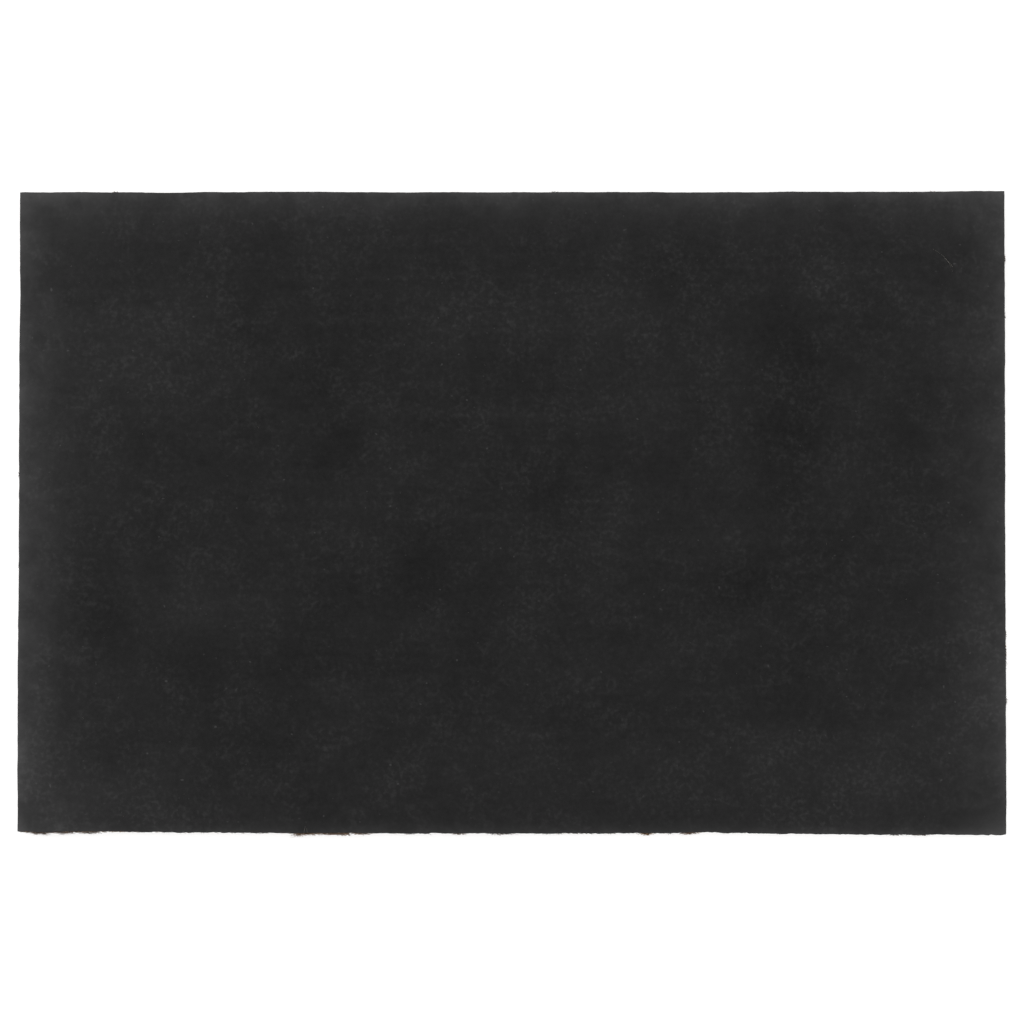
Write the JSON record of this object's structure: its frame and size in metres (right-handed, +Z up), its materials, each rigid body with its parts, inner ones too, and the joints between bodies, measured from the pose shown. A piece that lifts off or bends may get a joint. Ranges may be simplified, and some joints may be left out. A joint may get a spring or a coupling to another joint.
{
  "type": "door mat",
  "caption": "Rectangular door mat of upright coir pile set in a thin black PVC backing, lying pile side down with its backing up.",
  "frame": {"origin": "under the mat's centre, in the plane of the pile's tips, which is the mat's lowest face as it lies", "axes": "+X along the length, +Y along the width, +Z up from the pile's tips to the backing's outer face"},
  "size_m": [1, 0.65, 0.017],
  "materials": {
    "backing": "matt black soft PVC, faintly grained, dusty towards its edges",
    "pile": "natural brown coir fibre, cut upright"
  },
  "bodies": {
    "root": {"pvc_backing": "backing", "pile_band_01": "pile", "pile_band_02": "pile", "pile_band_03": "pile", "pile_band_04": "pile", "pile_band_05": "pile", "pile_band_06": "pile", "pile_band_07": "pile", "pile_band_08": "pile", "pile_band_09": "pile", "pile_band_10": "pile", "pile_band_11": "pile", "pile_band_12": "pile", "pile_band_13": "pile", "pile_band_14": "pile", "pile_band_15": "pile", "pile_band_16": "pile", "pile_band_17": "pile", "pile_band_18": "pile", "pile_band_19": "pile", "pile_band_20": "pile", "pile_band_21": "pile", "pile_band_22": "pile", "pile_band_23": "pile", "pile_band_24": "pile", "pile_band_25": "pile", "pile_band_26": "pile", "pile_band_27": "pile", "pile_band_28": "pile", "pile_band_29": "pile", "pile_band_30": "pile", "pile_band_31": "pile", "pile_band_32": "pile", "pile_band_33": "pile", "pile_band_34": "pile", "pile_band_35": "pile", "pile_band_36": "pile", "pile_band_37": "pile", "pile_band_38": "pile", "pile_band_39": "pile", "pile_band_40": "pile", "pile_band_41": "pile", "pile_band_42": "pile", "pile_band_43": "pile", "pile_band_44": "pile", "pile_band_45": "pile", "pile_band_46": "pile", "pile_band_47": "pile", "pile_band_48": "pile", "pile_band_49": "pile", "pile_band_50": "pile"}
  },
  "joints": []
}
